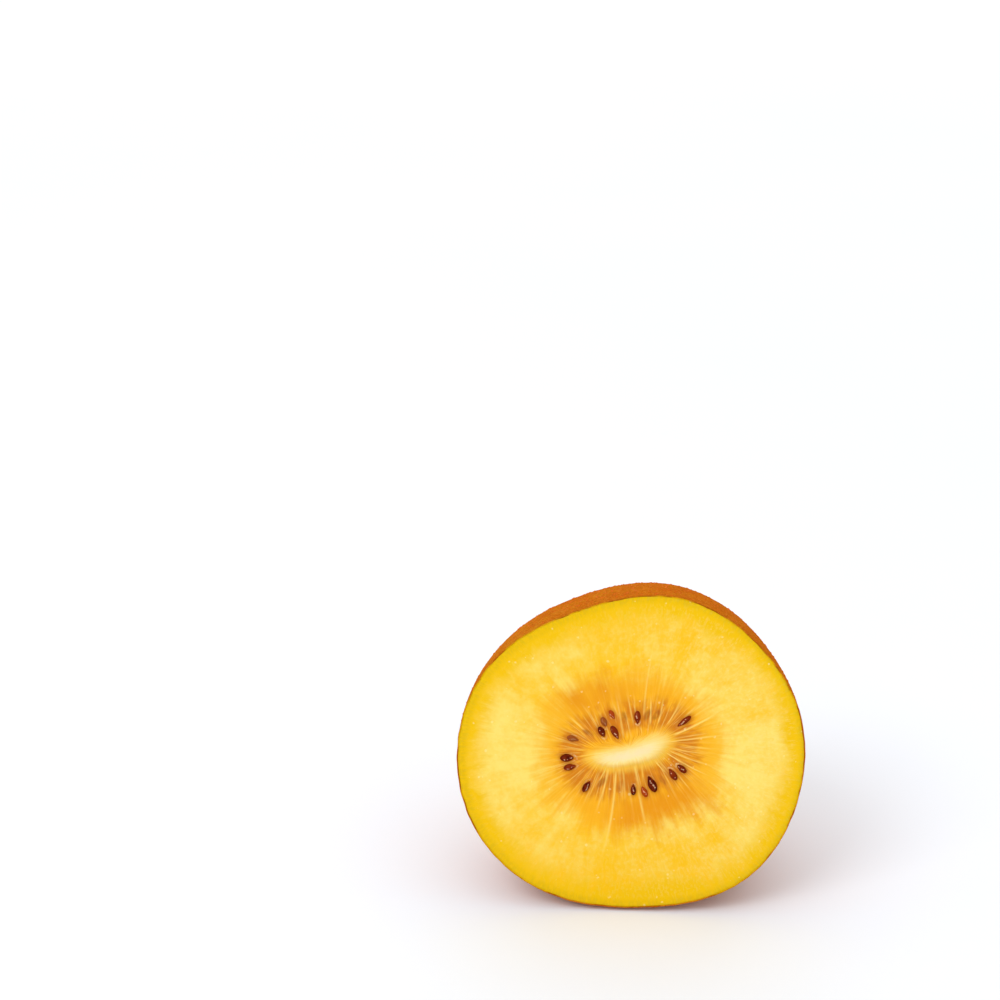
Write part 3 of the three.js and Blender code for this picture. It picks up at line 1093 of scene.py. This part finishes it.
def uneven_skin(points):
    """Slow dents and a finer unevenness of the skin, in metres."""
    dents = DENT_HEIGHT * lumps(points, DENT_LENGTH, seed=5)
    return dents + ROUGH_HEIGHT * lumps(points, ROUGH_LENGTH, seed=8)


def ring_rise(skin_set, turn, distance):
    """How high the ragged ring round the stem's hollow stands."""
    ring = skin_set.scar_rise * bell((distance - skin_set.scar_radius) / skin_set.scar_width)
    return ring * (1 + 0.2 * np.cos(5 * turn) + 0.15 * np.cos(8 * turn + 1))


class KIWI_OT_skin(bpy.types.Operator):
    """Makes the skin as a thin shell, pressed flat where the half stands"""

    bl_idname = "kiwi.skin"
    bl_label = "Skin"

    def execute(self, context):
        scene = context.scene
        shape, skin_set = scene.kiwi_shape, scene.kiwi_skin
        skin = dome("skin", SKIN_SEGMENTS, SKIN_RINGS)
        around, height = dome_angles(skin)
        turn = -around
        share = np.cos(height) ** (2 / shape.end_fullness)
        points = skin_points(shape, turn, share)
        outward = points - np.array([0, 0.25 * shape.half_length, 0])
        outward[:, 1] *= points[:, 1] / shape.half_length
        outward /= np.linalg.norm(outward, axis=1)[:, None]
        fade = smoothstep(points[:, 1], 0, NICK_BAND)
        points += outward * (uneven_skin(points) * fade + nicks(shape, turn) * (1 - fade))[:, None]
        # The ring of the scar, and inside it a dip that keeps the skin under the scar's own mesh
        distance = share * shape.face_radius
        radius = skin_set.scar_radius
        near, far = RING_FADES
        ring = smoothstep(distance, radius + far, radius + near) * ring_rise(skin_set, turn, distance)
        dip = SCAR_DIP * smoothstep(distance, radius, radius - 0.9 * MM)
        points[:, 1] += np.where(height > STEM_SIDE, ring, 0)
        points[:, 1] -= np.where(height > STEM_SIDE, dip, 0)
        set_points(skin, points)
        store(skin, "stem", distance)
        store(skin, "polar", np.column_stack([np.cos(around), np.sin(around), share]))
        stand(skin, shape)
        press_flat(skin, 0)
        wall = skin.modifiers.new("Wall", "SOLIDIFY")
        wall.thickness = shape.skin_thickness
        wall.offset = -1
        bpy.ops.object.modifier_apply(modifier=wall.name)
        store(skin, "cut", np.zeros(len(points)), rest=1)
        finish_piece(skin, skin_material(scene.kiwi_colours))
        return {"FINISHED"}


# ---- Spots of the skin ---------------------------------------------------------------------------

SPOT_TRIES = 40  # draws for each spot, before the scattering gives up
SPOT_LENGTHS = (1.0, 1.45)  # how much longer than wide
SPOT_HEIGHTS = (0.28, 0.5)  # as a share of half the width
SPOT_SPREAD = 0.3  # of the logarithm of their sizes
LARGEST_SPOT = 1.8  # times the mean
LOWEST_SPOT = 0.03  # as an angle behind the cut
SPOTS_AT_STEM = 0.03  # how dense they stay at the stem, where 1 is at the cut
SPOT_ROOT = -0.3  # where a spot is closed under the skin, as a share of its height
SPOT_SINK = 0.06  # how far its rim lies under the skin, as the same share


def scattered(shape, skin_set, draw):
    """Places on the skin, sparser towards the stem: their angles and shares of the full radius."""
    nearest = (skin_set.scar_radius + 1.6 * MM) / shape.face_radius
    places, taken = [], set()
    for _ in range(SPOT_TRIES * skin_set.spot_count):
        if len(places) == skin_set.spot_count:
            break
        turn = draw.uniform(0, FULL_TURN)
        height = draw.uniform(LOWEST_SPOT, math.pi / 2)
        share = math.cos(height) ** (2 / shape.end_fullness)
        if draw.random() > share + SPOTS_AT_STEM or share < nearest:
            continue
        # One spot at most in each cell, and the cells grow towards the stem
        point = skin_points(shape, np.array([turn]), np.array([share]))[0]
        cell = (0.5 + 0.9 * point[1] / shape.half_length) * MM
        key = tuple(int(v // cell) for v in point)
        if key not in taken:
            taken.add(key)
            places.append((turn, share))
    return np.array(places)


def surface_axes(shape, turn, share):
    """Points of the skin there, with their outward normals and a direction along the skin."""
    step = 0.001
    points = skin_points(shape, turn, share)
    along = skin_points(shape, turn, share - step) - skin_points(shape, turn, share + step)
    round_it = skin_points(shape, turn + step, share) - skin_points(shape, turn - step, share)
    along /= np.linalg.norm(along, axis=1)[:, None]
    normal = np.cross(along, round_it)
    normal /= np.linalg.norm(normal, axis=1)[:, None]
    outward = np.sign(np.sum(normal * (points - [0, 0.3 * shape.half_length, 0]), axis=1))
    return points, normal * outward[:, None], along


def spot_master():
    """One low spot of radius 1 that runs out flat at its rim, closed below."""
    spot = sphere(9, 6)
    with editing():
        cut_off_below()
        pick_open_rim()
        bpy.ops.mesh.extrude_region_move(TRANSFORM_OT_translate={"value": (0, 0, SPOT_ROOT)})
        bpy.ops.mesh.merge(type="CENTER")
        bpy.ops.mesh.select_all(action="SELECT")
        bpy.ops.mesh.quads_convert_to_tris()
    points = points_of(spot)
    width = np.hypot(points[:, 0], points[:, 1])
    # Painted shade: the spot darkens towards its rim, where it meets the skin
    store(spot, "painted_foot_shade", smoothstep(width, 0.5, 1))
    crown = np.maximum(1 - width**2, 0) ** 1.5 - SPOT_SINK
    points[:, 2] = np.where(points[:, 2] < -0.01, SPOT_ROOT, crown)
    turn = np.arctan2(points[:, 1], points[:, 0])
    points[:, :2] *= (1 + 0.14 * np.cos(3 * turn) + 0.08 * np.cos(2 * turn + 1))[:, None]
    set_points(spot, points)
    return spot


def copies_of(master, name, places):
    """One piece made of copies of a master, each set by its own matrix; the master is used up."""
    bpy.ops.object.select_all(action="DESELECT")
    for place in places:
        copy = master.copy()
        copy.data = master.data.copy()
        bpy.context.scene.collection.objects.link(copy)
        copy.matrix_world = place
        copy.select_set(True)
    bpy.context.view_layer.objects.active = copy
    bpy.ops.object.join()
    bpy.ops.object.transform_apply(location=True, rotation=True, scale=True)
    piece = bpy.context.object
    piece.name = piece.data.name = name
    bpy.data.objects.remove(master)
    return piece


def drawn(draw, between, count):
    """That many random values between two limits."""
    return np.array([draw.uniform(*between) for _ in range(count)])


def framed(place, first, second, third):
    """A matrix from a place and three axes."""
    matrix = Matrix((first, second, third)).transposed().to_4x4()
    matrix.translation = place
    return matrix


class KIWI_OT_spots(bpy.types.Operator):
    """Scatters raised corky spots over the skin"""

    bl_idname = "kiwi.spots"
    bl_label = "Skin spots"

    def execute(self, context):
        scene = context.scene
        shape, skin_set = scene.kiwi_shape, scene.kiwi_skin
        draw = random.Random(23)
        places = scattered(shape, skin_set, draw)
        points, normals, along = surface_axes(shape, places[:, 0], places[:, 1])
        points += normals * uneven_skin(points)[:, None]
        count = len(points)
        mean = skin_set.spot_size / 2 * (0.4 + 0.6 * points[:, 1] / shape.half_length)
        sizes = [min(draw.lognormvariate(0, SPOT_SPREAD), LARGEST_SPOT) for _ in range(count)]
        sizes = mean * np.array(sizes)
        longer = drawn(draw, SPOT_LENGTHS, count)
        heights = drawn(draw, SPOT_HEIGHTS, count)
        spin = drawn(draw, (0, FULL_TURN), count)[:, None]
        first = along * np.cos(spin) + np.cross(normals, along) * np.sin(spin)
        wide = first * (sizes * longer)[:, None]
        narrow = np.cross(normals, first) * sizes[:, None]
        tall = normals * (sizes * heights)[:, None]
        places = [framed(*rows) for rows in zip(points, wide, narrow, tall)]
        piece = copies_of(spot_master(), "skin_spots", places)
        stand(piece, shape)
        press_flat(piece, 0)
        finish_piece(piece, spot_material(scene.kiwi_colours))
        return {"FINISHED"}


# ---- Stem scar -----------------------------------------------------------------------------------

CORK_MARGIN = 1.3 * MM  # from the middle of the ring to the edge of the cork
# The tongue of cork below the ring, and the wart on it
TONGUE_TURN = -1.65
TONGUE_LENGTH, TONGUE_WIDTH = 1.7 * MM, 0.3
WART_DISTANCE, WART_RADIUS, WART_WIDTH = 7.2 * MM, 0.7 * MM, 0.12


def scar_reach(skin_set, turn):
    """Where the cork ends: a ragged round with a tongue below."""
    off = (turn - TONGUE_TURN + math.pi) % FULL_TURN - math.pi
    tongue = TONGUE_LENGTH * bell(off / TONGUE_WIDTH)
    ragged = 0.25 * np.cos(3 * turn + 0.6) + 0.2 * np.cos(7 * turn) + 0.12 * np.cos(13 * turn + 2)
    return skin_set.scar_radius + CORK_MARGIN + tongue + ragged * MM


def scar_hollow(skin_set, turn, distance):
    """How far into the hollow of the stalk a point lies, from 0 to 1."""
    radius = skin_set.hollow_radius * (1 + 0.1 * np.cos(2 * turn + 1) + 0.06 * np.cos(5 * turn))
    return 1 - smoothstep(distance, 0.72 * radius, 1.2 * radius)


def scar_cracks(points, hollow):
    """Ragged cracks between the crumbs of the cork, in some places only."""
    line = bell(lumps(points, 1.3 * MM, seed=6) / 0.09)
    where = smoothstep(lumps(points, 2.4 * MM, seed=12), 0.05, 0.3)
    return line * where * (1 - hollow)


def cork_surface(skin_set, points, turn, distance, reach):
    """How far the scar stands out of the fruit's form at each point, and how dark it is there."""
    hollow = scar_hollow(skin_set, turn, distance)
    crack = scar_cracks(points, hollow)
    crumbs = lumps(points, 0.5 * MM, seed=4)
    walls = hollow * smoothstep(lumps(points, 1.0 * MM, seed=15), 0.0, 0.35)
    cork = (0.25 * lumps(points, 1.0 * MM, seed=2) + 0.22 * crumbs) * (1 - 0.6 * hollow)
    wart = bell((distance - WART_DISTANCE) / WART_RADIUS) * bell((turn - TONGUE_TURN) / WART_WIDTH)
    edge = smoothstep(distance / reach, 0.8, 1)
    relief = MM * (cork + 0.4 * wart - 0.35 * crack + 0.7 * walls - 0.45 * edge + 0.06)
    pits = 0.5 * smoothstep(-crumbs, 0.05, 0.5)
    dark = np.maximum(np.maximum(hollow - 0.6 * walls, 0.65 * crack), pits)
    return ring_rise(skin_set, turn, distance) - skin_set.hollow_depth * hollow + relief, dark


class KIWI_OT_stem_scar(bpy.types.Operator):
    """Makes the corky ring and the hollow where the stalk came away"""

    bl_idname = "kiwi.stem_scar"
    bl_label = "Stem scar"

    def execute(self, context):
        scene = context.scene
        shape, skin_set = scene.kiwi_shape, scene.kiwi_skin
        scar = dome("stem_scar", SCAR_SEGMENTS, SCAR_RINGS)
        around, height = dome_angles(scar)
        turn = -around
        reach = scar_reach(skin_set, turn)
        distance = reach * (1 - height / (math.pi / 2))
        points = skin_points(shape, turn, distance / shape.face_radius)
        rise, dark = cork_surface(skin_set, points, turn, distance, reach)
        points[:, 1] += rise
        set_points(scar, points)
        # Closed behind by a flat floor that lies deeper than all of the cork
        rim_depth = float(points[height < 0.001, 1].mean())
        drop = (0, float(points[:, 1].min()) - rim_depth - 0.8 * MM, 0)
        with editing():
            pick_open_rim()
            bpy.ops.mesh.extrude_region_move(TRANSFORM_OT_translate={"value": drop})
            bpy.ops.transform.resize(value=(0.8, 1, 0.8), center_override=(0, 0, 0))
            bpy.ops.mesh.edge_face_add()
        store(scar, "stem", distance, rest=6 * MM)
        store(scar, "dark", dark)
        stand(scar, shape)
        finish_piece(scar, scar_material(scene.kiwi_colours))
        return {"FINISHED"}


# ---- Stalk fibres --------------------------------------------------------------------------------

FIBRE_TURN = 2.4  # from one fibre to the next, nearly the golden angle
FIBRE_LENGTH = (0.6, 1.5)  # in mm
FIBRE_RADIUS = (0.14, 0.3)  # in mm
FIBRE_FLATNESS = (0.5, 1)
FIBRE_LEAN = (-0.4, 0.4)


class KIWI_OT_fibres(bpy.types.Operator):
    """Makes the dry fibres of the stalk that are left in the hollow"""

    bl_idname = "kiwi.fibres"
    bl_label = "Stalk fibres"

    def execute(self, context):
        scene = context.scene
        shape, skin_set = scene.kiwi_shape, scene.kiwi_skin
        draw = random.Random(31)
        bpy.ops.object.select_all(action="DESELECT")
        bpy.ops.mesh.primitive_cone_add(vertices=6, radius1=1, radius2=0.35, depth=1, end_fill_type="NGON")
        master = context.object
        with editing():
            bpy.ops.mesh.quads_convert_to_tris()
        floor = shape.half_length - skin_set.hollow_depth
        places = []
        for index in range(skin_set.fibre_count):
            # Each next fibre stands further out and turned on, as seeds do in a sunflower
            turn = FIBRE_TURN * index + draw.uniform(*FIBRE_LEAN)
            out = 0.8 * math.sqrt((index + 0.5) / skin_set.fibre_count)
            distance = out * skin_set.hollow_radius
            tall = draw.uniform(*FIBRE_LENGTH) * MM * (1 - 0.35 * out)
            thin = draw.uniform(*FIBRE_RADIUS) * MM
            up = Vector((draw.uniform(*FIBRE_LEAN), 1, draw.uniform(*FIBRE_LEAN))).normalized()
            side = up.orthogonal().normalized()
            flat = up.cross(side) * thin * draw.uniform(*FIBRE_FLATNESS)
            middle = (distance * math.cos(turn), floor + 0.3 * tall, distance * math.sin(turn))
            places.append(framed(middle, side * thin, flat, up * tall))
        piece = copies_of(master, "stalk_fibres", places)
        stand(piece, shape)
        finish_piece(piece, fibre_material(scene.kiwi_colours))
        return {"FINISHED"}


# ---- Seeds ---------------------------------------------------------------------------------------


def seed_master():
    """A seed of length 1, pointed at its lower end."""
    seed = sphere(48, 28, 0.5)
    points = points_of(seed)
    x, y, z = points.T
    # A painted highlight of the wet film runs along a wavy line on the side that shows
    painted_glint = bell((x + 0.06 + 0.12 * np.sin(9 * z)) / 0.12) * (1 - smoothstep(np.abs(z), 0.2, 0.45))
    store(seed, "painted_glint", painted_glint * (y < 0))
    narrow = 1 - 0.5 * smoothstep(-z, -0.15, 0.5) ** 1.2
    points[:, :2] *= narrow[:, None]
    set_points(seed, points)
    return seed


def seed_matrix(cut, row, draw):
    """Where one seed lies: flat in the cut, broad at its outer end, half sunk in the flesh."""
    degrees, distance, broad, long, wide, tone = row
    place = seed_place(cut, degrees, distance)
    middle = Vector((place.x, SEED_DEPTHS[tone] * MM, place.y))
    outward = math.pi / 2 - math.radians(broad)
    turned = Euler((draw.uniform(*SEED_TILT), outward, draw.uniform(*SEED_ROLL)))
    return Matrix.LocRotScale(middle, turned, Vector((wide * MM, SEED_THICKNESS, long * MM)))


class KIWI_OT_seeds(bpy.types.Operator):
    """Makes the seeds at the cut, one piece for each tone"""

    bl_idname = "kiwi.seeds"
    bl_label = "Seeds"

    def execute(self, context):
        scene = context.scene
        shape, cut, colours = scene.kiwi_shape, scene.kiwi_cut, scene.kiwi_colours
        draw = random.Random(5)
        for tone in SEED_DEPTHS:
            places = [seed_matrix(cut, row, draw) for row in SEEDS if row[5] == tone]
            piece = copies_of(seed_master(), f"seeds_{tone}", places)
            stand(piece, shape)
            finish_piece(piece, seed_material(colours, tone))
        return {"FINISHED"}


# ---- Stage ---------------------------------------------------------------------------------------

FLOOR_SIZE = 40


def floor_material(stage):
    """Pale board that fades into the white surround far from the fruit."""
    material, shader, place = new_material(
        "Pale floor", Specular_IOR_Level=0.0, Roughness=0.7, Emission_Strength=0.45,
    )
    tree = material.node_tree
    darker = tuple(0.985 * v for v in stage.floor)
    base = mixed(mottle(place, 6.0), stage.floor, darker)
    away = add_node(tree, "ShaderNodeVectorMath", {0: place}, operation="LENGTH").outputs["Value"]
    glow = mixed(spread(away, 0.5, 1.8), (0, 0, 0), (1, 1, 1))
    connect(shader, Base_Color=base, Emission_Color=glow)
    return material


def studio_world(stage):
    """An even surround of the stage's own strength, which the camera sees as white."""
    world = bpy.data.worlds.new("studio")
    world.use_nodes = True
    seen = add_node(world.node_tree, "ShaderNodeLightPath").outputs["Is Camera Ray"]
    surround = world.node_tree.nodes["Background"].inputs
    fill(surround["Color"], (1, 1, 1))
    fill(surround["Strength"], spread(seen, 0, 1, stage.world_light, 1.0))
    return world


def area_light(name, place, target, size, watts):
    """A square soft light that faces a point."""
    light = bpy.data.lights.new(name, "AREA")
    light.energy = watts
    light.size = size
    lamp = bpy.data.objects.new(name, light)
    bpy.context.scene.collection.objects.link(lamp)
    lamp.location = place
    lamp.rotation_euler = (Vector(target) - Vector(place)).to_track_quat("-Z", "Y").to_euler()


def place_camera(stage, shape):
    """The camera sees the middle of the cut face where the stage's settings put it."""
    camera = bpy.data.cameras.new("camera")
    camera.lens, camera.sensor_width = stage.lens, stage.sensor
    camera.clip_start, camera.clip_end = 0.01, 20
    eye = bpy.data.objects.new("camera", camera)
    bpy.context.scene.collection.objects.link(eye)
    rise, side = stage.elevation, stage.azimuth
    back = Vector((math.sin(side) * math.cos(rise), -math.cos(side) * math.cos(rise), math.sin(rise)))
    right = Vector((math.cos(side), math.sin(side), 0))
    up = back.cross(right)
    width = stage.distance * stage.sensor / stage.lens
    across = (stage.face_across - 0.5) * width
    down = (stage.face_down - 0.5) * width
    eye.location = face_middle(shape) + back * stage.distance - right * across + up * down
    eye.rotation_euler = (-back).to_track_quat("-Z", "Y").to_euler()
    bpy.context.scene.camera = eye


class KIWI_OT_stage(bpy.types.Operator):
    """Makes the pale floor, the soft light and the camera"""

    bl_idname = "kiwi.stage"
    bl_label = "Stage"

    def execute(self, context):
        scene = context.scene
        stage = scene.kiwi_stage
        bpy.ops.object.select_all(action="DESELECT")
        bpy.ops.mesh.primitive_plane_add(size=FLOOR_SIZE, location=(0, 0, 0))
        floor = context.object
        floor.name = "floor"
        floor.data.materials.append(floor_material(stage))
        scene.world = studio_world(stage)
        area_light("key", (-0.45, -0.55, 0.75), (0, 0, 0.02), 0.5, stage.key_light)
        area_light("panel", (0, -0.1, 1.6), (0, -0.1, 0), 2.4, stage.panel_light)
        area_light("backdrop", (0, 2.2, 1.2), (0, 2.2, 0), 2.5, stage.back_light)
        scene.view_settings.view_transform = "Standard"
        scene.view_settings.look = "None"
        place_camera(stage, scene.kiwi_shape)
        return {"FINISHED"}


# ---- Panel and registration ----------------------------------------------------------------------

OPERATORS = (
    KIWI_OT_stage, KIWI_OT_flesh, KIWI_OT_skin, KIWI_OT_spots, KIWI_OT_stem_scar, KIWI_OT_fibres,
    KIWI_OT_seeds,
)
GROUPS = {
    "kiwi_shape": KiwiShape,
    "kiwi_cut": KiwiCut,
    "kiwi_skin": KiwiSkin,
    "kiwi_colours": KiwiColours,
    "kiwi_stage": KiwiStage,
}


class KIWI_PT_half(bpy.types.Panel):
    """The steps that make the half, in order"""

    bl_label = "Golden kiwi half"
    bl_idname = "KIWI_PT_half"
    bl_space_type = "VIEW_3D"
    bl_region_type = "UI"
    bl_category = "Kiwi"

    def draw(self, context):
        for operator in OPERATORS:
            self.layout.operator(operator.bl_idname)
        for group, kind in GROUPS.items():
            box = self.layout.box()
            for name in kind.__annotations__:
                box.prop(getattr(context.scene, group), name)


def register():
    for kind in (*GROUPS.values(), *OPERATORS, KIWI_PT_half):
        bpy.utils.register_class(kind)
    for name, kind in GROUPS.items():
        setattr(bpy.types.Scene, name, PointerProperty(type=kind))


def unregister():
    for name in GROUPS:
        delattr(bpy.types.Scene, name)
    for kind in (KIWI_PT_half, *reversed(OPERATORS), *reversed(GROUPS.values())):
        bpy.utils.unregister_class(kind)


def main():
    register()
    bpy.ops.kiwi.stage()
    bpy.ops.kiwi.flesh()
    bpy.ops.kiwi.skin()
    bpy.ops.kiwi.spots()
    bpy.ops.kiwi.stem_scar()
    bpy.ops.kiwi.fibres()
    bpy.ops.kiwi.seeds()


if __name__ == "__main__":
    main()
